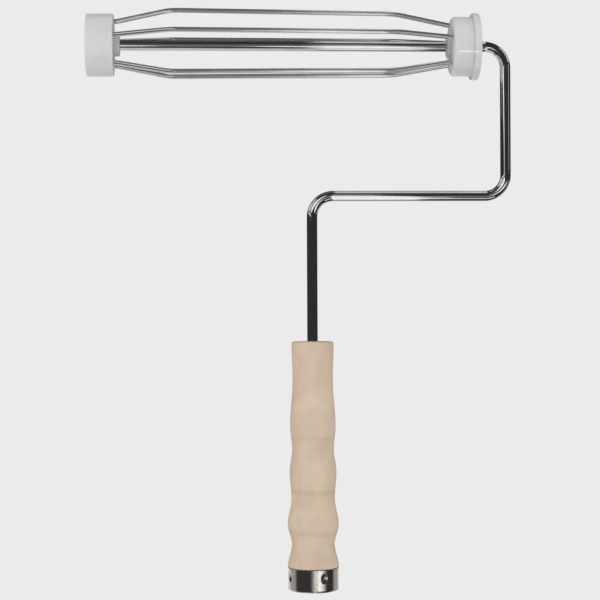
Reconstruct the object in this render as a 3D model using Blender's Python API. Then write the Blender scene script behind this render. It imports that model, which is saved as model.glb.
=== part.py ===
"""Paint-roller frame: a five-wire spring cage that turns on a bent rod in a turned wooden handle.

Metres, +Z up. The origin is the middle of the handle's lower end, +Z runs up the handle to the cage
and +X runs along the cage's axle towards the riser.
"""

from math import cos, hypot, pi, radians, sin, tan

import bmesh
import bpy
from mathutils import Matrix, Vector

# Rod: one round bar, bent three times at one radius.
ROD_RADIUS = 0.003175
BEND_RADIUS = 0.0128
AXLE_HEIGHT = 0.3292
ARM_HEIGHT = 0.2383
RISER_X = 0.1184
AXLE_END_X = -0.1327
SHANK_END_Z = 0.056
ROD_CHAMFER = 0.0008

# Clearances: one between neighbouring pieces, and a closer one where a bush turns on the axle.
GAP = 0.0003
BORE_RADIUS = ROD_RADIUS + GAP
BUSH_BORE_RADIUS = ROD_RADIUS + 0.0001

# Cage wires, evenly spaced, the first one straight up.
WIRE_COUNT = 5
WIRE_RADIUS = 0.0015
WIRE_END_RUN = 0.0015
WIRE_END_BEND = 0.012
OUTER_KINK_X = -0.0855
OUTER_KINK_RADIUS = 0.0213
OUTER_KINK_BEND = 0.040
OUTER_ENTRY_RADIUS = 0.0142
INNER_KINK_X = 0.0500
INNER_KINK_RADIUS = 0.0198
INNER_KINK_BEND = 0.068
INNER_ENTRY_RADIUS = 0.0129

# End caps, as distances along the axle (X) and radii from it.
OUTER_END_X = -0.1355
OUTER_FACE_X = -0.1192
OUTER_RECESS_X = -0.1283
OUTER_CAP_RADIUS = 0.0187
INNER_FACE_X = 0.0849
INNER_RECESS_X = 0.0984
FLANGE_X = 0.0975
FLANGE_END_X = 0.1014
INNER_CAP_RADIUS = 0.0179
FLANGE_RADIUS = 0.0202
RECESS_RADIUS = 0.0088
CAP_EDGE = 0.0008
INNER_CAP_NOSE = 0.0022
WIRE_HOLE_DEPTH = 0.0070

# Bearing bushes, washers and retainers on the axle.
BUSH_RADIUS = 0.0067
OUTER_BUSH_NOSE = 0.0037
INNER_BUSH_NOSE = 0.0024
WASHER_RADIUS = 0.0062
WASHER_THICKNESS = 0.0008
STOP_RING_RADIUS = 0.0052
STOP_RING_WIDTH = 0.0014
PUSH_NUT_RADIUS = 0.0064
PUSH_NUT_THICKNESS = 0.0005
PUSH_NUT_RISE = 0.0011
PUSH_NUT_SLOT_LINES = 2
PUSH_NUT_SLOT_WIDTH = 0.0009
PUSH_NUT_SLOT_SPAN = 0.0100
PUSH_NUT_SLOT_DEPTH = 0.0050

# Handle: the ferrule at its foot, then waists and swells up to the top.
FERRULE_HEIGHT = 0.0139
FERRULE_RADIUS = 0.01535
FERRULE_WALL = 0.0006
FERRULE_EDGE = 0.0012
DIMPLE_COUNT = 4
DIMPLE_AZIMUTH = radians(-69)
DIMPLE_HEIGHT = 0.0086
DIMPLE_HALF_WIDTH = 0.0023
DIMPLE_HALF_LENGTH = 0.0033
DIMPLE_DEPTH = 0.0008
STUB_RADIUS = 0.01375
GRIP_FOOT_Z = 0.0142
GRIP_TOP_Z = 0.1503
GRIP_TOP_RADIUS = 0.0127
GRIP_TOP_EDGE = 0.0014
SHANK_HOLE_Z = SHANK_END_Z - 0.002
# Each waist or swell is (height, radius), and the wood blends smoothly from one to the next.
GRIP_FORM = (
    (GRIP_FOOT_Z, 0.01545),
    (0.0276, 0.01295),
    (0.0395, 0.01545),
    (0.0555, 0.01315),
    (0.0712, 0.01420),
    (0.0848, 0.01265),
    (0.0990, 0.01375),
    (0.1280, 0.01220),
    (0.1465, GRIP_TOP_RADIUS),
)

# Pole socket in the grip's foot: a coarse internal thread.
SOCKET_RADIUS = 0.0092
THREAD_DEPTH = 0.0008
THREAD_PITCH = 0.00508
THREAD_FIRST_Z = 0.004
THREAD_LAST_Z = 0.027
SOCKET_END_Z = 0.030
SOCKET_TIP = 0.003

# Mesh fineness.
WELD_DISTANCE = 1e-6
SHARP_ANGLE = radians(35)
ARC_STEPS = 3
BEND_STEPS = 9
ROD_SIDES_SETTING = 6
WIRE_SIDES_SETTING = 3
SPAN_STEPS = 4
THREAD_ROWS = 24
SMALL_SEGMENTS = 24
CAP_SEGMENTS = 48
GRIP_SEGMENTS = 36
FERRULE_SEGMENTS = 56
FERRULE_ROWS = 8


def clear_scene():
    for thing in list(bpy.data.objects):
        bpy.data.objects.remove(thing, do_unlink=True)


def surface(name, colour, roughness, metallic=0.0):
    """A Principled material of one colour."""
    made = bpy.data.materials.new(name)
    made.use_nodes = True
    shader = made.node_tree.nodes["Principled BSDF"]
    shader.inputs["Base Color"].default_value = (*colour, 1.0)
    shader.inputs["Roughness"].default_value = roughness
    shader.inputs["Metallic"].default_value = metallic
    return made


def place(thing, material, parent=None):
    """Gives the object its material and parent, and links it into the scene."""
    thing.data.materials.append(material)
    thing.parent = parent
    bpy.context.scene.collection.objects.link(thing)
    return thing


def rounded(corners, steps):
    """A polyline's points, with an arc at each inner corner. A corner is (point, radius)."""
    points = [Vector(corners[0][0])]
    for (before, _), (corner, radius), (after, _) in zip(corners, corners[1:], corners[2:]):
        here = Vector(corner)
        if not radius:
            points.append(here)
            continue
        back = (Vector(before) - here).normalized()
        ahead = (Vector(after) - here).normalized()
        half = back.angle(ahead) / 2
        centre = here + (back + ahead).normalized() * radius / sin(half)
        start = here + back * radius / tan(half) - centre
        end = here + ahead * radius / tan(half) - centre
        arc = (start.slerp(end, step / steps) for step in range(steps + 1))
        points += [centre + direction * radius for direction in arc]
    points.append(Vector(corners[-1][0]))
    return points


def bar(name, points, radius, sides_setting):
    """A round bar along the points, as a curve with closed ends."""
    curve = bpy.data.curves.new(name, "CURVE")
    curve.dimensions = "3D"
    curve.bevel_depth = radius
    curve.bevel_resolution = sides_setting
    curve.use_fill_caps = True
    spline = curve.splines.new("POLY")
    spline.points.add(len(points) - 1)
    for knot, point in zip(spline.points, points):
        knot.co = (*point, 1.0)
    return bpy.data.objects.new(name, curve)


def turned(name, outline, segments, reshape=None):
    """A solid of revolution about local Z from (radius, height) points. The outline closes on itself,
    unless it starts and ends on the axis. Reshape moves single points of the mesh afterwards."""
    mesh = bmesh.new()
    ring = [mesh.verts.new((radius, 0, height)) for radius, height in outline]
    edges = [mesh.edges.new(pair) for pair in zip(ring, ring[1:])]
    if outline[0][0] > 0:
        edges.append(mesh.edges.new((ring[-1], ring[0])))
    bmesh.ops.spin(
        mesh, geom=ring + edges, cent=(0, 0, 0), axis=(0, 0, 1), angle=2 * pi, steps=segments
    )
    bmesh.ops.remove_doubles(mesh, verts=mesh.verts, dist=WELD_DISTANCE)
    bmesh.ops.recalc_face_normals(mesh, faces=mesh.faces)
    if reshape:
        for vertex in mesh.verts:
            vertex.co = reshape(vertex.co)
    data = bpy.data.meshes.new(name)
    mesh.to_mesh(data)
    mesh.free()
    data.shade_smooth()
    data.set_sharp_from_angle(angle=SHARP_ANGLE)
    return bpy.data.objects.new(name, data)


def on_axle(thing, material, cage):
    """Lays a turned piece along X, with its local origin on the cage's axis."""
    thing.rotation_euler = (0, pi / 2, 0)
    return place(thing, material, cage)


def cutter(name, mesh, parent):
    """A hidden helper that a Boolean takes away from another object."""
    data = bpy.data.meshes.new(name)
    mesh.to_mesh(data)
    mesh.free()
    thing = bpy.data.objects.new(name, data)
    thing.parent = parent
    thing.hide_render = True
    thing.display_type = "WIRE"
    bpy.context.scene.collection.objects.link(thing)
    return thing


def cut(thing, tool):
    modifier = thing.modifiers.new("cut", "BOOLEAN")
    modifier.operation = "DIFFERENCE"
    modifier.object = tool


def ring_outline(inner, outer, low, high, edge=0.0):
    """A plain ring's outline, with its two outer corners rounded by edge."""
    corners = [
        ((inner, low), 0),
        ((outer, low), edge),
        ((outer, high), edge),
        ((inner, high), 0),
    ]
    return [tuple(point) for point in rounded(corners, ARC_STEPS)]


def frame_rod(material):
    """The handle's shank, the arm, the riser and the axle, from one bar."""
    corners = [
        ((0, 0, SHANK_END_Z), 0),
        ((0, 0, ARM_HEIGHT), BEND_RADIUS),
        ((RISER_X, 0, ARM_HEIGHT), BEND_RADIUS),
        ((RISER_X, 0, AXLE_HEIGHT), BEND_RADIUS),
        ((AXLE_END_X, 0, AXLE_HEIGHT), 0),
    ]
    points = rounded(corners, BEND_STEPS)
    shank_tip = points[0].copy()
    axle_tip = points[-1].copy()
    points[0] += Vector((0, 0, ROD_CHAMFER))
    points[-1] += Vector((ROD_CHAMFER, 0, 0))
    rod = bar("frame_rod", [shank_tip, *points, axle_tip], ROD_RADIUS, ROD_SIDES_SETTING)
    knots = rod.data.splines[0].points
    for end in (knots[0], knots[-1]):
        end.radius = 1 - ROD_CHAMFER / ROD_RADIUS
    return place(rod, material)


def cage_wires(material, cage):
    """The spring wires: straight in the middle, bent in towards the axle at both ends."""
    corners = [
        ((OUTER_FACE_X - WIRE_HOLE_DEPTH + GAP, 0, OUTER_ENTRY_RADIUS), 0),
        ((OUTER_FACE_X + WIRE_END_RUN, 0, OUTER_ENTRY_RADIUS), WIRE_END_BEND),
        ((OUTER_KINK_X, 0, OUTER_KINK_RADIUS), OUTER_KINK_BEND),
        ((INNER_KINK_X, 0, INNER_KINK_RADIUS), INNER_KINK_BEND),
        ((INNER_FACE_X - WIRE_END_RUN, 0, INNER_ENTRY_RADIUS), WIRE_END_BEND),
        ((INNER_FACE_X + WIRE_HOLE_DEPTH - GAP, 0, INNER_ENTRY_RADIUS), 0),
    ]
    points = rounded(corners, ARC_STEPS)
    for number in range(WIRE_COUNT):
        wire = bar(f"cage_wire_{number + 1}", points, WIRE_RADIUS, WIRE_SIDES_SETTING)
        wire.rotation_euler = (number * 2 * pi / WIRE_COUNT, 0, 0)
        place(wire, material, cage)


def wire_holes(name, face_x, inward, entry_radius, cage):
    """One cutter for the blind holes that hold the wires' ends in a cap."""
    outside = face_x - inward * INNER_CAP_NOSE
    bottom = face_x + inward * WIRE_HOLE_DEPTH
    mesh = bmesh.new()
    for number in range(WIRE_COUNT):
        turn = Matrix.Rotation(number * 2 * pi / WIRE_COUNT, 4, "X")
        centre = Matrix.Translation(((outside + bottom) / 2, 0, entry_radius))
        bmesh.ops.create_cone(
            mesh,
            cap_ends=True,
            segments=SMALL_SEGMENTS // 2,
            radius1=WIRE_RADIUS + GAP,
            radius2=WIRE_RADIUS + GAP,
            depth=abs(bottom - outside),
            matrix=turn @ centre @ Matrix.Rotation(pi / 2, 4, "Y"),
        )
    return cutter(name, mesh, cage)


def outer_end_cap(material, cage):
    """A plain drum: wire holes and the bush's bore on the cage side, a retainer recess outboard."""
    corners = [
        ((BUSH_RADIUS + GAP, OUTER_FACE_X), 0),
        ((BUSH_RADIUS + GAP, OUTER_RECESS_X), 0),
        ((RECESS_RADIUS, OUTER_RECESS_X), 0),
        ((RECESS_RADIUS, OUTER_END_X), 0),
        ((OUTER_CAP_RADIUS, OUTER_END_X), CAP_EDGE),
        ((OUTER_CAP_RADIUS, OUTER_FACE_X), CAP_EDGE),
        ((BUSH_RADIUS + GAP, OUTER_FACE_X), 0),
    ]
    outline = [tuple(point) for point in rounded(corners, ARC_STEPS)[:-1]]
    cap = on_axle(turned("outer_end_cap", outline, CAP_SEGMENTS), material, cage)
    cut(cap, wire_holes("outer_wire_holes", OUTER_FACE_X, -1, OUTER_ENTRY_RADIUS, cage))


def inner_end_cap(material, cage):
    """A drum with a rounded nose, and the flange that stops the sleeve."""
    corners = [
        ((BUSH_RADIUS + GAP, INNER_FACE_X), 0),
        ((INNER_CAP_RADIUS, INNER_FACE_X), INNER_CAP_NOSE),
        ((INNER_CAP_RADIUS, FLANGE_X), 0),
        ((FLANGE_RADIUS, FLANGE_X), CAP_EDGE / 2),
        ((FLANGE_RADIUS, FLANGE_END_X), CAP_EDGE),
        ((RECESS_RADIUS, FLANGE_END_X), 0),
        ((RECESS_RADIUS, INNER_RECESS_X), 0),
        ((BUSH_RADIUS + GAP, INNER_RECESS_X), 0),
    ]
    outline = [tuple(point) for point in rounded(corners, ARC_STEPS)]
    cap = on_axle(turned("inner_end_cap", outline, CAP_SEGMENTS), material, cage)
    cut(cap, wire_holes("inner_wire_holes", INNER_FACE_X, 1, INNER_ENTRY_RADIUS, cage))


def bearing_bushes(material, cage):
    """Two plain bushes. Each fills its cap's bore and stands out of the cap's cage side."""
    spans = (
        ("outer_bearing_bush", OUTER_RECESS_X, OUTER_FACE_X + OUTER_BUSH_NOSE),
        ("inner_bearing_bush", INNER_FACE_X - INNER_BUSH_NOSE, INNER_RECESS_X),
    )
    for name, low, high in spans:
        outline = ring_outline(BUSH_BORE_RADIUS, BUSH_RADIUS, low, high, CAP_EDGE / 2)
        on_axle(turned(name, outline, SMALL_SEGMENTS), material, cage)


def washers(material, cage):
    """One thrust washer outboard of each bush."""
    starts = (
        ("inner_thrust_washer", INNER_RECESS_X + GAP),
        ("outer_thrust_washer", OUTER_RECESS_X - GAP - WASHER_THICKNESS),
    )
    for name, low in starts:
        outline = ring_outline(BORE_RADIUS, WASHER_RADIUS, low, low + WASHER_THICKNESS)
        on_axle(turned(name, outline, SMALL_SEGMENTS), material, cage)


def stop_ring(material, cage):
    """The ring on the axle that the inboard end of the cage runs against."""
    low = INNER_RECESS_X + WASHER_THICKNESS + 2 * GAP
    outline = ring_outline(BORE_RADIUS, STOP_RING_RADIUS, low, low + STOP_RING_WIDTH, CAP_EDGE / 4)
    on_axle(turned("inner_stop_ring", outline, SMALL_SEGMENTS), material, cage)


def push_nut(material, cage):
    """The dished spring retainer on the axle's end, slotted round its bore."""
    foot = OUTER_RECESS_X - WASHER_THICKNESS - 2 * GAP
    outline = [
        (BORE_RADIUS, foot - PUSH_NUT_RISE - PUSH_NUT_THICKNESS),
        (PUSH_NUT_RADIUS, foot - PUSH_NUT_THICKNESS),
        (PUSH_NUT_RADIUS, foot),
        (BORE_RADIUS, foot - PUSH_NUT_RISE),
    ]
    nut = on_axle(turned("push_nut", outline, SMALL_SEGMENTS), material, cage)
    slot = Matrix.Diagonal((PUSH_NUT_SLOT_DEPTH, PUSH_NUT_SLOT_WIDTH, PUSH_NUT_SLOT_SPAN, 1))
    middle = Matrix.Translation((foot - PUSH_NUT_RISE, 0, 0))
    mesh = bmesh.new()
    for number in range(PUSH_NUT_SLOT_LINES):
        turn = Matrix.Rotation((number + 0.5) * pi / PUSH_NUT_SLOT_LINES, 4, "X")
        bmesh.ops.create_cube(mesh, matrix=turn @ middle @ slot)
    cut(nut, cutter("push_nut_slots", mesh, cage))


def dimpled(point):
    """Presses a point of the ferrule inwards where it lies in one of the punched dimples."""
    radius = hypot(point.x, point.y)
    if radius < STUB_RADIUS:
        return point
    depth = 0.0
    for number in range(DIMPLE_COUNT):
        angle = DIMPLE_AZIMUTH + number * 2 * pi / DIMPLE_COUNT
        centre = Vector((cos(angle), sin(angle), 0))
        if point.x * centre.x + point.y * centre.y < 0:
            continue
        across = (point.x * centre.y - point.y * centre.x) / DIMPLE_HALF_WIDTH
        along = (point.z - DIMPLE_HEIGHT) / DIMPLE_HALF_LENGTH
        reach = hypot(across, along)
        if reach < 1:
            depth = DIMPLE_DEPTH * (1 + cos(pi * reach)) / 2
    scale = (radius - depth) / radius
    return Vector((point.x * scale, point.y * scale, point.z))


def ferrule(material):
    """A thin metal cup with an open end for the pole, punched to the wood at its dimples."""
    inner = FERRULE_RADIUS - FERRULE_WALL
    row_height = (FERRULE_HEIGHT - FERRULE_EDGE) / FERRULE_ROWS
    rows = [FERRULE_EDGE + row * row_height for row in range(1, FERRULE_ROWS)]
    corners = [
        ((SOCKET_RADIUS + THREAD_DEPTH, 0), 0),
        ((FERRULE_RADIUS, 0), FERRULE_EDGE),
        *(((FERRULE_RADIUS, height), 0) for height in rows),
        ((FERRULE_RADIUS, FERRULE_HEIGHT), 0),
        ((inner, FERRULE_HEIGHT), 0),
        *(((inner, height), 0) for height in reversed(rows)),
        ((inner, FERRULE_WALL), 0),
        ((SOCKET_RADIUS + THREAD_DEPTH, FERRULE_WALL), 0),
    ]
    outline = [tuple(point) for point in rounded(corners, ARC_STEPS)]
    place(turned("ferrule", outline, FERRULE_SEGMENTS, dimpled), material)


def threaded(point):
    """Cuts the socket's helical thread: points on the socket wall move out by the thread's form."""
    radius = hypot(point.x, point.y)
    if radius > SOCKET_RADIUS + GAP or not THREAD_FIRST_Z < point.z < THREAD_LAST_Z:
        return point
    turn = point.z / THREAD_PITCH - Vector((1, 0)).angle_signed(point.xy, 0) / (2 * pi)
    scale = (radius + THREAD_DEPTH * (1 + cos(2 * pi * turn)) / 2) / radius
    return Vector((point.x * scale, point.y * scale, point.z))


def grip_side():
    """The turned side of the wood, from its foot to just under the top."""
    points = []
    for (low, start), (high, end) in zip(GRIP_FORM, GRIP_FORM[1:]):
        for step in range(SPAN_STEPS):
            share = step / SPAN_STEPS
            blend = (1 - cos(pi * share)) / 2
            points.append((start + (end - start) * blend, low + (high - low) * share))
    return points


def handle_grip(material):
    """The wood: pole socket below, stub for the ferrule, turned side, and a blind hole for the shank."""
    row_height = (THREAD_LAST_Z - THREAD_FIRST_Z) / THREAD_ROWS
    wall = [THREAD_LAST_Z - row * row_height for row in range(THREAD_ROWS + 1)]
    top = [
        ((GRIP_TOP_RADIUS, GRIP_FORM[-1][0]), 0),
        ((GRIP_TOP_RADIUS, GRIP_TOP_Z), GRIP_TOP_EDGE),
        ((BORE_RADIUS, GRIP_TOP_Z), 0),
    ]
    outline = [
        (0, SOCKET_END_Z + SOCKET_TIP),
        (SOCKET_RADIUS, SOCKET_END_Z),
        *((SOCKET_RADIUS, height) for height in wall),
        (SOCKET_RADIUS, FERRULE_WALL + GAP),
        (STUB_RADIUS, FERRULE_WALL + GAP),
        (STUB_RADIUS, GRIP_FOOT_Z),
        *grip_side(),
        *(tuple(point) for point in rounded(top, ARC_STEPS)),
        (BORE_RADIUS, SHANK_HOLE_Z),
        (0, SHANK_HOLE_Z - BORE_RADIUS / 2),
    ]
    place(turned("handle_grip", outline, GRIP_SEGMENTS, threaded), material)


def main():
    clear_scene()
    chrome = surface("chrome", (0.72, 0.73, 0.74), 0.12, 1.0)
    spring_steel = surface("spring_steel", (0.66, 0.67, 0.68), 0.18, 1.0)
    zinc = surface("zinc_plate", (0.55, 0.56, 0.58), 0.35, 1.0)
    nickel = surface("nickel", (0.70, 0.67, 0.63), 0.18, 1.0)
    cap_plastic = surface("cap_plastic", (0.66, 0.66, 0.67), 0.40)
    bush_plastic = surface("bush_plastic", (0.58, 0.58, 0.59), 0.45)
    wood = surface("turned_wood", (0.61, 0.47, 0.34), 0.55)

    cage = bpy.data.objects.new("cage_axis", None)
    cage.location = (0, 0, AXLE_HEIGHT)
    bpy.context.scene.collection.objects.link(cage)

    frame_rod(chrome)
    cage_wires(spring_steel, cage)
    outer_end_cap(cap_plastic, cage)
    inner_end_cap(cap_plastic, cage)
    bearing_bushes(bush_plastic, cage)
    washers(zinc, cage)
    stop_ring(zinc, cage)
    push_nut(zinc, cage)
    handle_grip(wood)
    ferrule(nickel)


main()
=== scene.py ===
"""Looks for the paint-roller frame: detailed pieces, procedural materials, studio light and camera.

Metres, in the CAD model's frame: +Z up the handle, +X along the axle, the camera on the -Y side.
Every piece's vertices are in that frame, so a material's object coordinates are the same for all.
"""

from math import atan2, cos, hypot, pi, radians, sin, tan

import bmesh
import bpy
from mathutils import Matrix, Vector


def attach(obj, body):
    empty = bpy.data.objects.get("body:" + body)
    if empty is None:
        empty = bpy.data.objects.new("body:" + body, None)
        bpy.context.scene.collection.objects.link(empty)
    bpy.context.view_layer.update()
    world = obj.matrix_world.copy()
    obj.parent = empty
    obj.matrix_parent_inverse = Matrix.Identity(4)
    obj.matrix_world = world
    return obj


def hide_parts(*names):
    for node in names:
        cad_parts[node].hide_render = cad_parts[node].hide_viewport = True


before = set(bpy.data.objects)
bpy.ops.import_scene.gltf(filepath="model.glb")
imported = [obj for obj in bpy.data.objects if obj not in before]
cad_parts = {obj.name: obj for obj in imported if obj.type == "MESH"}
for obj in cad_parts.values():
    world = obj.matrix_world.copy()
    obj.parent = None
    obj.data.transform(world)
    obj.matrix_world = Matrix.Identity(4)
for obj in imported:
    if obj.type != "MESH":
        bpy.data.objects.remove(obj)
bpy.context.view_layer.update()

# ---------------------------------------------------------------- sizes, as in the CAD
ROD_RADIUS = 0.003175
BEND_RADIUS = 0.0128
AXLE_HEIGHT = 0.3292
ARM_HEIGHT = 0.2383
RISER_X = 0.1184
AXLE_END_X = -0.1327
SHANK_END_Z = 0.056
GAP = 0.0003
BORE_RADIUS = ROD_RADIUS + GAP
BUSH_BORE_RADIUS = ROD_RADIUS + 0.0001

WIRE_COUNT = 5
WIRE_RADIUS = 0.0015
WIRE_END_RUN = 0.0015
WIRE_END_BEND = 0.012
OUTER_KINK_X = -0.0855
OUTER_KINK_RADIUS = 0.0213
OUTER_KINK_BEND = 0.040
OUTER_ENTRY_RADIUS = 0.0142
INNER_KINK_X = 0.0500
INNER_KINK_RADIUS = 0.0198
INNER_KINK_BEND = 0.068
INNER_ENTRY_RADIUS = 0.0129

OUTER_END_X = -0.1355
OUTER_FACE_X = -0.1192
OUTER_RECESS_X = -0.1283
OUTER_CAP_RADIUS = 0.0187
INNER_FACE_X = 0.0849
INNER_RECESS_X = 0.0984
FLANGE_X = 0.0975
FLANGE_END_X = 0.1014
INNER_CAP_RADIUS = 0.0179
FLANGE_RADIUS = 0.0202
RECESS_RADIUS = 0.0088
CAP_EDGE = 0.0008
INNER_CAP_NOSE = 0.0022
# The inner cap's raised parting line, and the painted highlight line along it.
SEAM_AND_HIGHLIGHT_TURN = radians(16.875)
SEAM_HEIGHT = 0.00012
HIGHLIGHT_LINE_HALF_WIDTH = 0.00026
FLANGE_FILLET = 0.0004
WIRE_HOLE_DEPTH = 0.0070
BUSH_RADIUS = 0.0067
OUTER_BUSH_NOSE = 0.0037
INNER_BUSH_NOSE = 0.0024

FERRULE_HEIGHT = 0.0139
FERRULE_RADIUS = 0.01535
FERRULE_WALL = 0.0006
FERRULE_EDGE = 0.0012
FERRULE_LIP = 0.0002
DIMPLE_COUNT = 4
DIMPLE_AZIMUTH = radians(-69)
DIMPLE_HEIGHT = 0.0086
DIMPLE_HALF_WIDTH = 0.0023
DIMPLE_HALF_LENGTH = 0.0033
DIMPLE_DEPTH = 0.0008
STUB_RADIUS = 0.01375
GRIP_FOOT_Z = 0.0142
GRIP_TOP_Z = 0.1503
GRIP_TOP_RADIUS = 0.0127
GRIP_TOP_EDGE = 0.0014
GRIP_FORM = (
    (GRIP_FOOT_Z, 0.01545),
    (0.0276, 0.01295),
    (0.0395, 0.01545),
    (0.0555, 0.01315),
    (0.0712, 0.01420),
    (0.0848, 0.01265),
    (0.0990, 0.01375),
    (0.1280, 0.01220),
    (0.1465, GRIP_TOP_RADIUS),
)
SOCKET_RADIUS = 0.0092
THREAD_DEPTH = 0.0008
THREAD_PITCH = 0.00508
THREAD_FIRST_Z = 0.004
THREAD_LAST_Z = 0.027
SOCKET_END_Z = 0.030
SOCKET_TIP = 0.003
SHANK_HOLE_Z = SHANK_END_Z - 0.002
BORE_EDGE = 0.0003
# The rod's rounded end: distance back from the end, and how much the radius is less there.
ROD_TIP = ((0.0008, 0.0), (0.0005, 0.00012), (0.0002, 0.00035), (0.0, 0.0008))

# ---------------------------------------------------------------- fineness
SHARP_ANGLE = radians(35)
WELD_DISTANCE = 1e-6
EDGE_STEPS = 6
ROD_BEND_STEPS = 22
ROD_SPACING = 0.005
ROD_SIDES = 40
WIRE_BEND_STEPS = 12
WIRE_SPACING = 0.004
WIRE_SIDES = 20
HOLE_SEGMENTS = 24
BUSH_SEGMENTS = 64
OUTER_CAP_SEGMENTS = 128
INNER_CAP_SEGMENTS = 256
FERRULE_SEGMENTS = 256
FERRULE_ROWS = 36
GRIP_SEGMENTS = 128
GRIP_STEPS = 14
THREAD_ROWS = 96

# ---------------------------------------------------------------- wood
PITH_ACROSS = 0.034
PITH_AWAY = 0.021
PITH_DRIFT = 0.05
RINGS_PER_METRE = 420.0
# Height and strength of each painted shade ring, on the underside of a swell that faces down, away
# from the light above.
PAINTED_SHADE_RINGS = ((0.0352, 0.24), (0.0594, 0.30), (0.0915, 0.18))
PAINTED_SHADE_RING_HALF_WIDTH = 0.0028

# ---------------------------------------------------------------- the photograph's view
CAMERA_PLACE = (-0.0679, -1.0384, 0.1736)
CAMERA_TURN = radians(-3.33)
CAMERA_TILT = radians(90.1)
CAMERA_ROLL = radians(-0.24)
CAMERA_LENS = 103.06
CAMERA_SENSOR = 36.0
FLOOR_RADIUS = 30.0
FLOOR_SEGMENTS = 64
FLOOR_DROP = 0.0001


# ---------------------------------------------------------------- node graphs
class Nodes:
    """Adds shader nodes to one material's or world's tree."""

    def __init__(self, owner):
        owner.use_nodes = True
        self.tree = owner.node_tree
        self.tree.nodes.clear()

    def feed(self, socket, value):
        if isinstance(value, bpy.types.NodeSocket):
            self.tree.links.new(value, socket)
        else:
            socket.default_value = value

    def make(self, kind, inputs=None, **settings):
        node = self.tree.nodes.new("ShaderNode" + kind)
        for name, value in settings.items():
            setattr(node, name, value)
        for socket, value in (inputs or {}).items():
            self.feed(node.inputs[socket], value)
        return node

    def math(self, operation, *values, clamp=False):
        node = self.make("Math", operation=operation, use_clamp=clamp)
        for socket, value in zip(node.inputs, values):
            self.feed(socket, value)
        return node.outputs[0]

    def step(self, value, low, high, to_low=0.0, to_high=1.0):
        """A smooth step from to_low at low to to_high at high."""
        inputs = {
            "Value": value,
            "From Min": low,
            "From Max": high,
            "To Min": to_low,
            "To Max": to_high,
        }
        return self.make("MapRange", inputs, interpolation_type="SMOOTHSTEP").outputs["Result"]

    def noise(self, vector, scale, detail=2.0, roughness=0.5, distortion=0.0):
        inputs = {
            "Vector": vector,
            "Scale": scale,
            "Detail": detail,
            "Roughness": roughness,
            "Distortion": distortion,
        }
        return self.make("TexNoise", inputs).outputs["Fac"]

    def scaled(self, vector, scale, shift=(0.0, 0.0, 0.0)):
        inputs = {"Vector": vector, "Scale": scale, "Location": shift}
        return self.make("Mapping", inputs).outputs["Vector"]

    def mix(self, factor, first, second, blend="MIX"):
        """Mixes two colours."""
        node = self.make("Mix", data_type="RGBA", blend_type=blend)
        for number, value in zip((0, 6, 7), (factor, first, second)):
            self.feed(node.inputs[number], value)
        return node.outputs[2]

    def blend(self, factor, first, second):
        """Mixes two numbers."""
        node = self.make("Mix", data_type="FLOAT")
        for number, value in zip((0, 2, 3), (factor, first, second)):
            self.feed(node.inputs[number], value)
        return node.outputs[0]

    def bump(self, height, strength, distance, normal=None):
        inputs = {"Height": height, "Strength": strength, "Distance": distance}
        if normal is not None:
            inputs["Normal"] = normal
        return self.make("Bump", inputs).outputs["Normal"]

    def surface(self, **inputs):
        """A Principled shader on the material's output, its sockets named with _ for a space."""
        named = {name.replace("_", " "): value for name, value in inputs.items()}
        shader = self.make("BsdfPrincipled", named)
        output = self.make("OutputMaterial")
        self.tree.links.new(shader.outputs[0], output.inputs["Surface"])
        return shader


def rgb(red, green, blue):
    return (red, green, blue, 1.0)


def srgb(red, green, blue):
    """A screen colour, 0 to 255, as scene-linear."""
    channels = (value / 255 for value in (red, green, blue))
    linear = (c / 12.92 if c <= 0.04045 else ((c + 0.055) / 1.055) ** 2.4 for c in channels)
    return (*linear, 1.0)


# ---------------------------------------------------------------- materials
def plated_rod(name, colour, roughness, wobble, metallic=1.0):
    """Bright plating on drawn bar: draw lines along it, soft waviness, and faint handling marks."""
    material = bpy.data.materials.new(name)
    nodes = Nodes(material)
    skin = nodes.make("Attribute", attribute_name="skin").outputs["Vector"]
    place = nodes.make("TexCoord").outputs["Object"]
    lines = nodes.noise(nodes.scaled(skin, (2600.0, 2600.0, 18.0)), 1.0, 3.0, 0.6)
    waves = nodes.noise(nodes.scaled(skin, (60.0, 60.0, 45.0)), 1.0, 1.0, 0.4)
    marks = nodes.noise(place, 420.0, 4.0, 0.65)
    cloud = nodes.noise(place, 70.0, 2.0, 0.5)
    normal = nodes.bump(waves, 1.0, wobble)
    normal = nodes.bump(lines, 0.2, 0.000002, normal)
    duller = tuple(channel * 0.93 for channel in colour[:3]) + (1.0,)
    tint = nodes.mix(nodes.step(cloud, 0.35, 0.7), colour, duller)
    rough = nodes.math("ADD", roughness, nodes.step(marks, 0.5, 0.9, 0.0, 0.05))
    nodes.surface(Base_Color=tint, Metallic=metallic, Roughness=rough, Normal=normal)
    return material


def nickel_cup():
    """Drawn and tumbled nickel: lines round it, soft reflections, a warm cast and small scuffs."""
    material = bpy.data.materials.new("nickel_cup")
    nodes = Nodes(material)
    place = nodes.make("TexCoord").outputs["Object"]
    lines = nodes.noise(nodes.scaled(place, (60.0, 60.0, 5200.0)), 1.0, 3.0, 0.6)
    upright = nodes.noise(nodes.scaled(place, (900.0, 900.0, 40.0)), 1.0, 3.0, 0.55)
    scuffs = nodes.noise(place, 900.0, 3.0, 0.6)
    waves = nodes.noise(place, 130.0, 1.0, 0.4)
    normal = nodes.bump(waves, 0.8, 0.00006)
    normal = nodes.bump(upright, 0.5, 0.00001, normal)
    normal = nodes.bump(lines, 0.4, 0.000004, normal)
    rough = nodes.math("ADD", 0.13, nodes.step(scuffs, 0.5, 0.85, 0.0, 0.16))
    tint = nodes.mix(nodes.step(upright, 0.3, 0.7), rgb(0.72, 0.68, 0.64), rgb(0.66, 0.61, 0.57))
    nodes.surface(Base_Color=tint, Metallic=1.0, Roughness=rough, Normal=normal)
    return material


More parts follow.
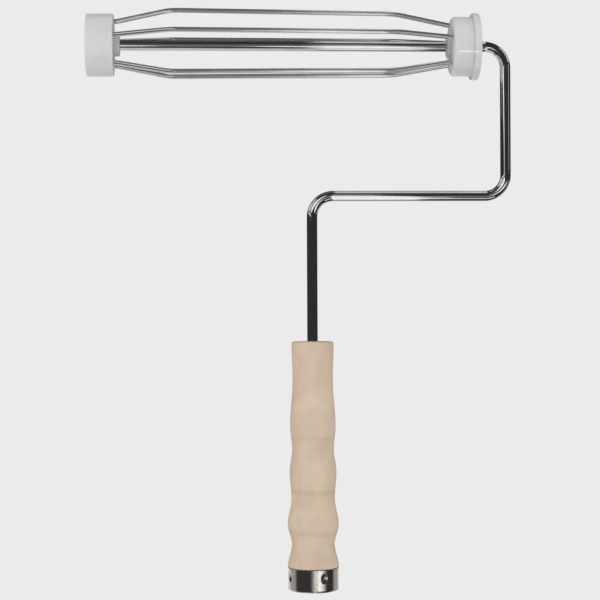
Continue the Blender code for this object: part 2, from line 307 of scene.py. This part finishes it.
def zinc():
    """Zinc plate on stamped steel: a satin crystalline bloom."""
    material = bpy.data.materials.new("zinc_plate")
    nodes = Nodes(material)
    place = nodes.make("TexCoord").outputs["Object"]
    bloom = nodes.make("TexVoronoi", {"Vector": place, "Scale": 2600.0}).outputs["Distance"]
    cloud = nodes.noise(place, 500.0, 4.0, 0.6)
    tint = nodes.mix(cloud, rgb(0.50, 0.51, 0.54), rgb(0.66, 0.66, 0.66))
    rough = nodes.blend(nodes.step(bloom, 0.1, 0.6), 0.28, 0.44)
    nodes.surface(
        Base_Color=tint, Metallic=1.0, Roughness=rough, Normal=nodes.bump(cloud, 0.3, 0.00002)
    )
    return material


def painted_highlight_mask(nodes, place):
    """One on the inner cap's parting line, which lies a little below its front: the mask of a
    painted highlight.
    """
    along, away, up = nodes.make("SeparateXYZ", {"Vector": place}).outputs
    height = nodes.math("SUBTRACT", up, AXLE_HEIGHT)
    drop = nodes.math("MULTIPLY", height, -cos(SEAM_AND_HIGHLIGHT_TURN))
    off = nodes.math("ABSOLUTE", nodes.math("MULTIPLY_ADD", away, sin(SEAM_AND_HIGHLIGHT_TURN), drop))
    line = nodes.step(off, HIGHLIGHT_LINE_HALF_WIDTH * 0.7, HIGHLIGHT_LINE_HALF_WIDTH * 1.3, 1.0, 0.0)
    front = nodes.math("LESS_THAN", away, -RECESS_RADIUS)
    start = INNER_FACE_X + INNER_CAP_NOSE
    begins = nodes.step(along, start, start + 0.001)
    stops = nodes.step(along, FLANGE_X + 0.0012, FLANGE_X + 0.0024, 1.0, 0.0)
    ends = nodes.math("MULTIPLY", begins, stops)
    return nodes.math("MULTIPLY", nodes.math("MULTIPLY", line, front), ends)


def moulded(name, light, dark, roughness, subsurface, painted_highlight=False):
    """Milky moulded polymer: faint flow clouds, an eggshell bloom and a trace of handling dirt, and
    if asked a painted highlight along the inner cap's parting line.
    """
    material = bpy.data.materials.new(name)
    nodes = Nodes(material)
    place = nodes.make("TexCoord").outputs["Object"]
    flow = nodes.noise(nodes.scaled(place, (90.0, 150.0, 150.0)), 1.0, 3.0, 0.5, 0.6)
    grain = nodes.noise(place, 3800.0, 2.0, 0.5)
    dirt = nodes.noise(place, 800.0, 4.0, 0.7)
    tint = nodes.mix(nodes.step(flow, 0.3, 0.7), light, dark)
    tint = nodes.mix(nodes.step(dirt, 0.62, 0.8, 0.0, 0.12), tint, rgb(0.35, 0.34, 0.32))
    if painted_highlight:
        # Painted highlight: a near-white line along the parting line, where the frontal light
        # glints.
        tint = nodes.mix(painted_highlight_mask(nodes, place), tint, rgb(0.97, 0.97, 0.97))
    rough = nodes.math("ADD", roughness, nodes.step(grain, 0.3, 0.7, -0.05, 0.07))
    normal = nodes.bump(grain, 0.12, 0.00002)
    nodes.surface(
        Base_Color=tint,
        Roughness=rough,
        Normal=normal,
        Subsurface_Weight=subsurface,
        Subsurface_Radius=(0.0022, 0.0021, 0.0020),
        Subsurface_Scale=1.0,
        IOR=1.5,
    )
    return material


def turned_wood():
    """Pale close-grained hardwood, sanded and sealed: growth bands, fibre, rays, and painted shade
    rings under the swells.
    """
    material = bpy.data.materials.new("turned_wood")
    nodes = Nodes(material)
    place = nodes.make("TexCoord").outputs["Object"]
    warp = nodes.noise(nodes.scaled(place, (26.0, 26.0, 7.0)), 1.0, 3.0, 0.5)
    across, away, up = nodes.make("SeparateXYZ", {"Vector": place}).outputs
    # Growth rings round a pith well outside the handle, which drifts a little along it.
    reach = nodes.math("ADD", across, PITH_ACROSS)
    reach = nodes.math("ADD", reach, nodes.math("MULTIPLY", up, PITH_DRIFT))
    back = nodes.math("ADD", away, PITH_AWAY)
    squares = (nodes.math("POWER", reach, 2.0), nodes.math("POWER", back, 2.0))
    ring = nodes.math("SQRT", nodes.math("ADD", *squares))
    ring = nodes.math("ADD", ring, nodes.math("MULTIPLY", warp, 0.0055))
    band = nodes.math("FRACT", nodes.math("MULTIPLY", ring, RINGS_PER_METRE))
    late = nodes.step(band, 0.55, 0.97)
    early = nodes.step(band, 0.0, 0.12, 1.0, 0.0)
    growth = nodes.math("MAXIMUM", late, early)
    fibre = nodes.noise(nodes.scaled(place, (1500.0, 1500.0, 32.0)), 1.0, 4.0, 0.6)
    streak = nodes.noise(nodes.scaled(place, (320.0, 320.0, 9.0)), 1.0, 3.0, 0.55)
    blotch = nodes.noise(nodes.scaled(place, (75.0, 75.0, 38.0)), 1.0, 2.0, 0.5)
    blush = nodes.noise(nodes.scaled(place, (60.0, 60.0, 55.0), (7.0, 3.0, 1.0)), 1.0, 2.0, 0.5)
    pale = nodes.noise(nodes.scaled(place, (52.0, 52.0, 70.0), (2.0, 9.0, 4.0)), 1.0, 2.0, 0.55)
    light, dark = rgb(0.645, 0.520, 0.388), rgb(0.565, 0.447, 0.325)
    tint = nodes.mix(nodes.step(blotch, 0.3, 0.72), light, dark)
    tint = nodes.mix(nodes.step(blush, 0.42, 0.70, 0.0, 0.75), tint, rgb(0.640, 0.462, 0.368))
    tint = nodes.mix(nodes.step(pale, 0.50, 0.72, 0.0, 0.60), tint, rgb(0.68, 0.558, 0.400))
    tint = nodes.mix(nodes.math("MULTIPLY", growth, 0.07), tint, rgb(0.48, 0.35, 0.235))
    tint = nodes.mix(nodes.step(streak, 0.5, 0.8, 0.0, 0.12), tint, rgb(0.52, 0.395, 0.28))
    tint = nodes.mix(nodes.step(fibre, 0.55, 0.85, 0.0, 0.22), tint, rgb(0.42, 0.32, 0.23))
    # Painted shade: darker rings under the swells, whose undersides face down, away from the light
    # above. Then the wood gets darker towards the foot.
    wander = nodes.math("MULTIPLY_ADD", warp, 0.006, nodes.math("SUBTRACT", up, 0.003))
    for height, depth in PAINTED_SHADE_RINGS:
        off = nodes.math("ABSOLUTE", nodes.math("SUBTRACT", wander, height))
        mark = nodes.step(off, 0.0, PAINTED_SHADE_RING_HALF_WIDTH, depth, 0.0)
        shade_ring_mark = nodes.math("MULTIPLY", mark, nodes.step(blotch, 0.2, 0.6, 0.4, 1.0))
        tint = nodes.mix(shade_ring_mark, tint, rgb(0.40, 0.28, 0.20))
    tint = nodes.mix(nodes.step(up, 0.0, 0.075, 0.15, 0.0), tint, rgb(0.45, 0.34, 0.25))
    # Rays: short dark flecks along the grain.
    cells = nodes.make(
        "TexVoronoi", {"Vector": nodes.scaled(place, (700.0, 700.0, 150.0)), "Scale": 1.0}
    )
    pick = nodes.make("SeparateColor", {"Color": cells.outputs["Color"]}).outputs[0]
    spot = nodes.step(cells.outputs["Distance"], 0.08, 0.26, 1.0, 0.0)
    fleck = nodes.math("MULTIPLY", spot, nodes.step(pick, 0.78, 0.82))
    tint = nodes.mix(nodes.math("MULTIPLY", fleck, 0.35), tint, rgb(0.30, 0.20, 0.13))
    rings = nodes.noise(nodes.scaled(place, (30.0, 30.0, 1900.0)), 1.0, 2.0, 0.5)
    normal = nodes.bump(rings, 0.25, 0.00003)
    normal = nodes.bump(fibre, 0.35, 0.00004, normal)
    normal = nodes.bump(fleck, 0.3, 0.00004, normal)
    rough = nodes.math("ADD", 0.56, nodes.step(fibre, 0.3, 0.8, -0.05, 0.12))
    nodes.surface(Base_Color=tint, Roughness=rough, Normal=normal, IOR=1.45)
    return material


# ---------------------------------------------------------------- shapes
def piece(name, mesh, material, body, slot, *stands_for):
    """Turns a bmesh into a piece that rides on a body and stands for its CAD nodes."""
    bmesh.ops.recalc_face_normals(mesh, faces=mesh.faces)
    data = bpy.data.meshes.new(name)
    mesh.to_mesh(data)
    mesh.free()
    data.shade_smooth()
    data.set_sharp_from_angle(angle=SHARP_ANGLE)
    data.materials.append(material)
    thing = bpy.data.objects.new(name, data)
    bpy.context.scene.collection.objects.link(thing)
    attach(thing, body)
    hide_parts(*stands_for)
    return thing


def rounded(corners, steps, spacing=None):
    """A polyline's points, with an arc of that many steps at each inner corner. A corner is (point,
    radius). With spacing, the straight runs are divided to about that length."""
    points = [Vector(corners[0][0])]
    for (before, _), (corner, radius), (after, _) in zip(corners, corners[1:], corners[2:]):
        here = Vector(corner)
        if not radius:
            points.append(here)
            continue
        back = (Vector(before) - here).normalized()
        ahead = (Vector(after) - here).normalized()
        half = back.angle(ahead) / 2
        centre = here + (back + ahead).normalized() * radius / sin(half)
        start = here + back * radius / tan(half) - centre
        end = here + ahead * radius / tan(half) - centre
        points += [centre + start.slerp(end, step / steps) * radius for step in range(steps + 1)]
    points.append(Vector(corners[-1][0]))
    if not spacing:
        return points
    finer = [points[0]]
    for low, high in zip(points, points[1:]):
        count = max(1, round((high - low).length / spacing))
        finer += [low.lerp(high, number / count) for number in range(1, count + 1)]
    return finer


def swept(points, radii, sides, side):
    """A bar with round sections of the given radii at the points, which lie in a plane whose normal
    is side. Its skin attribute is the bar unrolled: the place round it, and the run along it."""
    mesh = bmesh.new()
    skin = mesh.verts.layers.float_vector.new("skin")
    run = 0.0
    rows = []
    for number, (point, radius) in enumerate(zip(points, radii)):
        ahead = points[min(number + 1, len(points) - 1)]
        back = points[max(number - 1, 0)]
        out = (ahead - back).normalized().cross(side)
        if number:
            run += (point - points[number - 1]).length
        row = []
        for corner in range(sides):
            turn = 2 * pi * corner / sides
            vertex = mesh.verts.new(point + (out * cos(turn) + side * sin(turn)) * radius)
            vertex[skin] = (cos(turn) * ROD_RADIUS, sin(turn) * ROD_RADIUS, run)
            row.append(vertex)
        rows.append(row)
    for low, high in zip(rows, rows[1:]):
        for number in range(sides):
            following = (number + 1) % sides
            mesh.faces.new((low[number], low[following], high[following], high[number]))
    for row in (rows[0], rows[-1]):
        mesh.faces.new(row)
    return mesh


def lathe(outline, segments, axis="Z", reshape=None):
    """A solid of revolution about Z, or about the axle, from (radius, height) points."""
    mesh = bmesh.new()
    ring = [mesh.verts.new((radius, 0, height)) for radius, height in outline]
    edges = [mesh.edges.new(pair) for pair in zip(ring, ring[1:])]
    if outline[0][0] > 0:
        edges.append(mesh.edges.new((ring[-1], ring[0])))
    bmesh.ops.spin(
        mesh, geom=ring + edges, cent=(0, 0, 0), axis=(0, 0, 1), angle=2 * pi, steps=segments
    )
    bmesh.ops.remove_doubles(mesh, verts=mesh.verts, dist=WELD_DISTANCE)
    if reshape:
        for vertex in mesh.verts:
            vertex.co = reshape(vertex.co)
    if axis == "X":
        turn = Matrix.Translation((0, 0, AXLE_HEIGHT)) @ Matrix.Rotation(pi / 2, 4, "Y")
        bmesh.ops.transform(mesh, matrix=turn, verts=mesh.verts)
    return mesh


def profile(corners):
    return [tuple(point) for point in rounded(corners, EDGE_STEPS)]


def frame_rod(material):
    corners = [
        ((0, 0, SHANK_END_Z), 0),
        ((0, 0, ARM_HEIGHT), BEND_RADIUS),
        ((RISER_X, 0, ARM_HEIGHT), BEND_RADIUS),
        ((RISER_X, 0, AXLE_HEIGHT), BEND_RADIUS),
        ((AXLE_END_X, 0, AXLE_HEIGHT), 0),
    ]
    points = rounded(corners, ROD_BEND_STEPS, ROD_SPACING)
    radii = [ROD_RADIUS] * len(points)
    tip = points[-1]
    points[-1:] = [tip + Vector((back, 0, 0)) for back, _ in ROD_TIP]
    radii[-1:] = [ROD_RADIUS - less for _, less in ROD_TIP]
    mesh = swept(points, radii, ROD_SIDES, Vector((0, 1, 0)))
    piece("rod_detail", mesh, material, "frame", "chrome", "frame_rod")


def wire_turn(number):
    """Takes a shape from beside the X axis to a wire's place round the axle."""
    turn = Matrix.Rotation(number * 2 * pi / WIRE_COUNT, 4, "X")
    return Matrix.Translation((0, 0, AXLE_HEIGHT)) @ turn


def cage_wires(material):
    corners = [
        ((OUTER_FACE_X - WIRE_HOLE_DEPTH + GAP, 0, OUTER_ENTRY_RADIUS), 0),
        ((OUTER_FACE_X + WIRE_END_RUN, 0, OUTER_ENTRY_RADIUS), WIRE_END_BEND),
        ((OUTER_KINK_X, 0, OUTER_KINK_RADIUS), OUTER_KINK_BEND),
        ((INNER_KINK_X, 0, INNER_KINK_RADIUS), INNER_KINK_BEND),
        ((INNER_FACE_X - WIRE_END_RUN, 0, INNER_ENTRY_RADIUS), WIRE_END_BEND),
        ((INNER_FACE_X + WIRE_HOLE_DEPTH - GAP, 0, INNER_ENTRY_RADIUS), 0),
    ]
    points = rounded(corners, WIRE_BEND_STEPS, WIRE_SPACING)
    for number in range(WIRE_COUNT):
        mesh = swept(points, [WIRE_RADIUS] * len(points), WIRE_SIDES, Vector((0, 1, 0)))
        bmesh.ops.transform(mesh, matrix=wire_turn(number), verts=mesh.verts)
        name = f"wire_detail_{number + 1}"
        piece(name, mesh, material, "cage", "spring_steel", f"cage_wire_{number + 1}")


def wire_holes(thing, face_x, inward, entry_radius):
    """Cuts the blind holes for the wires' ends into a cap."""
    outside = face_x - inward * INNER_CAP_NOSE
    bottom = face_x + inward * WIRE_HOLE_DEPTH
    mesh = bmesh.new()
    for number in range(WIRE_COUNT):
        centre = Matrix.Translation(((outside + bottom) / 2, 0, entry_radius))
        bmesh.ops.create_cone(
            mesh,
            cap_ends=True,
            segments=HOLE_SEGMENTS,
            radius1=WIRE_RADIUS + GAP,
            radius2=WIRE_RADIUS + GAP,
            depth=abs(bottom - outside),
            matrix=wire_turn(number) @ centre @ Matrix.Rotation(pi / 2, 4, "Y"),
        )
    data = bpy.data.meshes.new("holes")
    mesh.to_mesh(data)
    mesh.free()
    tool = bpy.data.objects.new("holes", data)
    bpy.context.scene.collection.objects.link(tool)
    cut = thing.modifiers.new("cut", "BOOLEAN")
    cut.operation = "DIFFERENCE"
    cut.object = tool
    graph = bpy.context.evaluated_depsgraph_get()
    made = bpy.data.meshes.new_from_object(thing.evaluated_get(graph), depsgraph=graph)
    thing.modifiers.clear()
    thing.data = made
    made.shade_smooth()
    made.set_sharp_from_angle(angle=SHARP_ANGLE)
    bpy.data.objects.remove(tool)


def seamed(point):
    """Raises the mould's parting line on the inner cap's side. The cap still stands on the Z axis,
    before lathe() lays it along the axle."""
    turn = atan2(point.y, point.x) - (SEAM_AND_HIGHLIGHT_TURN - pi / 2)
    on_side = INNER_FACE_X + INNER_CAP_NOSE - GAP < point.z < FLANGE_X - GAP
    inside = hypot(point.x, point.y) < INNER_CAP_RADIUS - GAP
    if abs(turn) > pi / INNER_CAP_SEGMENTS or not on_side or inside:
        return point
    scale = 1 + SEAM_HEIGHT / INNER_CAP_RADIUS
    return Vector((point.x * scale, point.y * scale, point.z))


def end_caps(outer_material, inner_material):
    corners = [
        ((BUSH_RADIUS + GAP, OUTER_FACE_X), 0),
        ((BUSH_RADIUS + GAP, OUTER_RECESS_X), 0),
        ((RECESS_RADIUS, OUTER_RECESS_X), 0),
        ((RECESS_RADIUS, OUTER_END_X), CAP_EDGE / 2),
        ((OUTER_CAP_RADIUS, OUTER_END_X), CAP_EDGE),
        ((OUTER_CAP_RADIUS, OUTER_FACE_X), CAP_EDGE),
        ((BUSH_RADIUS + GAP, OUTER_FACE_X), 0),
    ]
    mesh = lathe(profile(corners)[:-1], OUTER_CAP_SEGMENTS, "X")
    cap = piece("outer_cap_detail", mesh, outer_material, "cage", "cap_plastic", "outer_end_cap")
    wire_holes(cap, OUTER_FACE_X, -1, OUTER_ENTRY_RADIUS)
    corners = [
        ((BUSH_RADIUS + GAP, INNER_FACE_X), 0),
        ((INNER_CAP_RADIUS, INNER_FACE_X), INNER_CAP_NOSE),
        ((INNER_CAP_RADIUS, FLANGE_X), FLANGE_FILLET),
        ((FLANGE_RADIUS, FLANGE_X), CAP_EDGE / 2),
        ((FLANGE_RADIUS, FLANGE_END_X), CAP_EDGE),
        ((RECESS_RADIUS, FLANGE_END_X), CAP_EDGE / 2),
        ((RECESS_RADIUS, INNER_RECESS_X), 0),
        ((BUSH_RADIUS + GAP, INNER_RECESS_X), 0),
    ]
    mesh = lathe(profile(corners), INNER_CAP_SEGMENTS, "X", seamed)
    cap = piece("inner_cap_detail", mesh, inner_material, "cage", "cap_plastic", "inner_end_cap")
    wire_holes(cap, INNER_FACE_X, 1, INNER_ENTRY_RADIUS)


def bushes(material):
    spans = (
        ("outer", OUTER_RECESS_X, OUTER_FACE_X + OUTER_BUSH_NOSE),
        ("inner", INNER_FACE_X - INNER_BUSH_NOSE, INNER_RECESS_X),
    )
    for name, low, high in spans:
        corners = [
            ((BUSH_BORE_RADIUS, low), 0),
            ((BUSH_RADIUS, low), CAP_EDGE / 2),
            ((BUSH_RADIUS, high), CAP_EDGE / 2),
            ((BUSH_BORE_RADIUS, high), 0),
        ]
        mesh = lathe(profile(corners), BUSH_SEGMENTS, "X")
        piece(f"{name}_bush_detail", mesh, material, "cage", "bush_plastic", f"{name}_bearing_bush")


def dimpled(point):
    """Presses a point of the ferrule inwards where it lies in one of the punched dimples."""
    radius = hypot(point.x, point.y)
    if radius < STUB_RADIUS:
        return point
    depth = 0.0
    for number in range(DIMPLE_COUNT):
        angle = DIMPLE_AZIMUTH + number * 2 * pi / DIMPLE_COUNT
        centre = Vector((cos(angle), sin(angle), 0))
        if point.x * centre.x + point.y * centre.y < 0:
            continue
        across = (point.x * centre.y - point.y * centre.x) / DIMPLE_HALF_WIDTH
        along = (point.z - DIMPLE_HEIGHT) / DIMPLE_HALF_LENGTH
        reach = hypot(across, along)
        if reach < 1:
            depth = DIMPLE_DEPTH * (1 + cos(pi * reach)) / 2
    scale = (radius - depth) / radius
    return Vector((point.x * scale, point.y * scale, point.z))


def ferrule(material):
    inner = FERRULE_RADIUS - FERRULE_WALL
    row_height = (FERRULE_HEIGHT - FERRULE_EDGE) / FERRULE_ROWS
    rows = [FERRULE_EDGE + row * row_height for row in range(1, FERRULE_ROWS)]
    corners = [
        ((SOCKET_RADIUS + THREAD_DEPTH, 0), 0),
        ((FERRULE_RADIUS, 0), FERRULE_EDGE),
        *(((FERRULE_RADIUS, height), 0) for height in rows),
        ((FERRULE_RADIUS, FERRULE_HEIGHT), FERRULE_LIP),
        ((inner, FERRULE_HEIGHT), 0),
        *(((inner, height), 0) for height in reversed(rows)),
        ((inner, FERRULE_WALL), 0),
        ((SOCKET_RADIUS + THREAD_DEPTH, FERRULE_WALL), 0),
    ]
    mesh = lathe(profile(corners), FERRULE_SEGMENTS, "Z", dimpled)
    piece("ferrule_detail", mesh, material, "frame", "nickel", "ferrule")


def threaded(point):
    """Cuts the socket's helical thread."""
    radius = hypot(point.x, point.y)
    if radius > SOCKET_RADIUS + GAP or not THREAD_FIRST_Z < point.z < THREAD_LAST_Z:
        return point
    turn = point.z / THREAD_PITCH + atan2(point.y, point.x) / (2 * pi)
    scale = (radius + THREAD_DEPTH * (1 + cos(2 * pi * turn)) / 2) / radius
    return Vector((point.x * scale, point.y * scale, point.z))


def grip_side():
    points = []
    for (low, start), (high, end) in zip(GRIP_FORM, GRIP_FORM[1:]):
        for step in range(GRIP_STEPS):
            share = step / GRIP_STEPS
            blend = (1 - cos(pi * share)) / 2
            points.append((start + (end - start) * blend, low + (high - low) * share))
    return points


def grip(material):
    row_height = (THREAD_LAST_Z - THREAD_FIRST_Z) / THREAD_ROWS
    wall = [THREAD_LAST_Z - row * row_height for row in range(THREAD_ROWS + 1)]
    top = [
        ((GRIP_TOP_RADIUS, GRIP_FORM[-1][0]), 0),
        ((GRIP_TOP_RADIUS, GRIP_TOP_Z), GRIP_TOP_EDGE),
        ((BORE_RADIUS, GRIP_TOP_Z), BORE_EDGE),
        ((BORE_RADIUS, SHANK_END_Z), 0),
    ]
    outline = [
        (0, SOCKET_END_Z + SOCKET_TIP),
        (SOCKET_RADIUS, SOCKET_END_Z),
        *((SOCKET_RADIUS, height) for height in wall),
        (SOCKET_RADIUS, FERRULE_WALL + GAP),
        (STUB_RADIUS, FERRULE_WALL + GAP),
        (STUB_RADIUS, GRIP_FOOT_Z),
        *grip_side(),
        *profile(top)[:-1],
        (BORE_RADIUS, SHANK_HOLE_Z),
        (0, SHANK_HOLE_Z - BORE_RADIUS / 2),
    ]
    mesh = lathe(outline, GRIP_SEGMENTS, "Z", threaded)
    piece("grip_detail", mesh, material, "frame", "turned_wood", "handle_grip")


# ---------------------------------------------------------------- studio
BACKGROUND = srgb(235, 235, 235)
UNLIT = 0.03
# Soft light: an even part, and what each direction adds. The last two fall off by a power.
SOFT_EVEN = 0.64
SOFT_FRONT = 0.54
SOFT_ABOVE = 0.05
SOFT_RIGHT = 0.15
SOFT_LEFT = 1.10
SOFT_LEFT_POWER = 6.0
SOFT_REAR = 0.9
SOFT_REAR_POWER = 3.0


def studio():
    """A pale world for the camera, soft light for matt surfaces, and for polished ones a dark
    studio with lit panels. Angles are degrees: azimuth to the right of the camera, elevation up,
    and pitch the elevation carried on over the top, so 90 is overhead and 180 level behind."""
    world = bpy.data.worlds.new("studio")
    bpy.context.scene.world = world
    nodes = Nodes(world)
    direction = nodes.make("TexCoord").outputs["Generated"]
    right, away, up = nodes.make("SeparateXYZ", {"Vector": direction}).outputs
    towards = nodes.math("MULTIPLY", away, -1.0)
    azimuth = nodes.math("DEGREES", nodes.math("ARCTAN2", right, towards))
    elevation = nodes.math("DEGREES", nodes.math("ARCSINE", up))
    pitch = nodes.math("DEGREES", nodes.math("ARCTAN2", up, towards))

    def window(value, low, high, soft, softer=None):
        softer = softer or soft
        rise = nodes.step(value, low - soft, low + soft)
        fall = nodes.step(value, high - softer, high + softer, 1.0, 0.0)
        return nodes.math("MULTIPLY", rise, fall)

    def panel(first, second, level):
        return nodes.math("MULTIPLY", nodes.math("MULTIPLY", first, second), level)

    # Nothing is lit at the camera's own height, so the upright bars stay dark.
    dark_band = nodes.math("SUBTRACT", 1.0, window(elevation, -3.0, 8.5, 1.0))
    low_band = window(elevation, -11.0, -8.1, 0.7)
    low_walls = window(elevation, -48.0, -6.0, 2.0)
    sides = nodes.math("ABSOLUTE", nodes.math("SUBTRACT", azimuth, 4.0))
    # The opening's top slopes down towards the right.
    past = nodes.math("MAXIMUM", nodes.math("SUBTRACT", right, 0.10), 0.0)
    opening_top = nodes.math("MULTIPLY_ADD", past, 1500.0, pitch)
    # The left upright is further out the higher it goes.
    upright = nodes.math("MULTIPLY_ADD", elevation, 6.0, azimuth)
    below_top = nodes.step(opening_top, -6.0, 42.0, 1.0, 0.0)
    opening = panel(window(right, 0.066, 0.139, 0.010, 0.008), below_top, dark_band)
    opening_foot = nodes.math("MULTIPLY_ADD", nodes.step(right, 0.118, 0.138), 24.0, -92.0)
    above_foot = nodes.step(nodes.math("SUBTRACT", pitch, opening_foot), -8.0, 12.0)
    # The strip light is bright at both ends and dim in the middle.
    from_middle = nodes.math("ABSOLUTE", nodes.math("SUBTRACT", right, 0.004))
    strip_ends = nodes.step(from_middle, 0.016, 0.056, 0.2, 1.6)
    strip = panel(window(right, -0.07, 0.066, 0.02), window(pitch, -26.0, -12.5, 1.0), strip_ends)
    panels = (
        # A tall white opening to the right of the camera.
        panel(opening, above_foot, 1.1),
        # A narrow strip light straight ahead, below the camera's level.
        strip,
        # The ground underneath, and its narrow lit edge on the right.
        panel(window(right, -0.5, 0.070, 0.01), window(pitch, -150.0, -68.0, 8.0), 0.62),
        panel(window(right, 0.070, 0.128, 0.01), window(pitch, -125.0, -53.0, 7.0), 0.34),
        panel(window(right, 0.125, 0.5, 0.01), window(pitch, -68.0, -50.0, 4.0), 0.88),
        # The ceiling overhead, on the right.
        panel(window(right, 0.067, 0.20, 0.006), window(pitch, 68.0, 122.0, 5.0), 0.72),
        # A window up on the left.
        panel(window(azimuth, -42.0, -4.5, 2.0), window(elevation, 9.5, 34.0, 2.0), 1.1),
        # Uprights on the left and on the right, just above the camera's level.
        panel(window(upright, -14.0, 2.0, 4.0), window(elevation, 5.0, 16.0, 2.5), 1.35),
        panel(window(azimuth, 62.0, 76.0, 3.0), window(elevation, 4.0, 14.0, 1.0), 0.40),
        # Below the camera's level: a big soft light ahead, and paler walls at the sides.
        panel(window(azimuth, -2.0, 44.0, 20.0, 19.0), low_band, 1.55),
        panel(window(azimuth, 15.0, 44.0, 4.0, 19.0), window(elevation, -16.0, -4.5, 1.5), 1.3),
        panel(nodes.step(sides, 84.0, 106.0), low_walls, 0.42),
        panel(nodes.step(sides, 108.0, 150.0), low_walls, 0.80),
        # Soft boxes on both sides, above the object's level.
        panel(window(azimuth, 72.0, 120.0, 6.0), window(elevation, 18.0, 50.0, 4.0), 0.60),
        panel(window(azimuth, -120.0, -60.0, 6.0), window(elevation, 18.0, 50.0, 4.0), 0.75),
    )
    shine = UNLIT
    for value in panels:
        shine = nodes.math("MAXIMUM", shine, value)
    polished = nodes.make("CombineColor", {0: shine, 1: shine, 2: shine}).outputs[0]
    # Soft light: strongest from the front, with enough from the left and behind for those sides.
    front = nodes.math("MULTIPLY_ADD", towards, SOFT_FRONT, SOFT_EVEN)
    sideways = nodes.math("MULTIPLY", right, SOFT_RIGHT)
    lift = nodes.math("MULTIPLY_ADD", up, SOFT_ABOVE, sideways)
    leftwards = nodes.math("MAXIMUM", nodes.math("MULTIPLY", right, -1.0), 0.0)
    left = nodes.math("POWER", leftwards, SOFT_LEFT_POWER)
    rear = nodes.math("POWER", nodes.math("MAXIMUM", away, 0.0), SOFT_REAR_POWER)
    left_part = nodes.math("MULTIPLY", left, SOFT_LEFT)
    edges = nodes.math("ADD", left_part, nodes.math("MULTIPLY", rear, SOFT_REAR))
    soft = nodes.math("ADD", nodes.math("ADD", front, lift), edges)
    matt = nodes.make("CombineColor", {0: soft, 1: soft, 2: soft}).outputs[0]
    path = nodes.make("LightPath")
    seen = nodes.mix(path.outputs["Is Glossy Ray"], matt, polished)
    seen = nodes.mix(path.outputs["Is Camera Ray"], seen, BACKGROUND)
    background = nodes.make("Background", {"Color": seen, "Strength": 1.0})
    output = nodes.make("OutputWorld")
    nodes.tree.links.new(background.outputs[0], output.inputs["Surface"])


def camera():
    data = bpy.data.cameras.new("camera")
    data.sensor_width = CAMERA_SENSOR
    data.lens = CAMERA_LENS
    eye = bpy.data.objects.new("camera", data)
    turn = Matrix.Rotation(CAMERA_TURN, 4, "Z") @ Matrix.Rotation(CAMERA_TILT, 4, "X")
    roll = Matrix.Rotation(CAMERA_ROLL, 4, "Z")
    eye.matrix_world = Matrix.Translation(CAMERA_PLACE) @ turn @ roll
    bpy.context.scene.collection.objects.link(eye)
    bpy.context.scene.camera = eye


def ground():
    """A pale floor the object stands on, as bright as the backdrop, so that no horizon shows."""
    mesh = bmesh.new()
    bmesh.ops.create_circle(
        mesh, cap_ends=True, radius=FLOOR_RADIUS, segments=FLOOR_SEGMENTS
    )
    bmesh.ops.translate(mesh, verts=mesh.verts, vec=(0, 0, -FLOOR_DROP))
    data = bpy.data.meshes.new("floor")
    mesh.to_mesh(data)
    mesh.free()
    material = bpy.data.materials.new("pale_floor")
    nodes = Nodes(material)
    glow = nodes.make("Emission", {"Color": BACKGROUND, "Strength": 1.0})
    output = nodes.make("OutputMaterial")
    nodes.tree.links.new(glow.outputs[0], output.inputs["Surface"])
    data.materials.append(material)
    floor = bpy.data.objects.new("floor", data)
    floor.visible_diffuse = False
    floor.visible_glossy = False
    floor.visible_transmission = False
    floor.visible_shadow = False
    bpy.context.scene.collection.objects.link(floor)


def main():
    bpy.context.scene.view_settings.view_transform = "Standard"
    chrome = plated_rod("chrome", rgb(0.80, 0.81, 0.82), 0.05, 0.00006)
    spring = plated_rod("spring_steel", rgb(0.76, 0.78, 0.80), 0.10, 0.00004, 0.88)
    frame_rod(chrome)
    cage_wires(spring)
    light, dark = rgb(0.66, 0.655, 0.655), rgb(0.61, 0.61, 0.61)
    outer = moulded("cap_plastic_outer", light, dark, 0.38, 0.25)
    # Painted shade: the inboard cap is the same plastic as the outer one, its colours set a little
    # darker.
    light, dark = rgb(0.65, 0.65, 0.655), rgb(0.60, 0.60, 0.605)
    inner = moulded("cap_plastic_inner", light, dark, 0.38, 0.25, painted_highlight=True)
    end_caps(outer, inner)
    bushes(moulded("bush_plastic", rgb(0.52, 0.52, 0.525), rgb(0.46, 0.46, 0.465), 0.42, 0.1))
    grip(turned_wood())
    ferrule(nickel_cup())
    plate = zinc()
    for name in ("inner_thrust_washer", "outer_thrust_washer", "inner_stop_ring", "push_nut"):
        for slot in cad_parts[name].material_slots:
            slot.material = plate
    studio()
    ground()
    camera()


main()
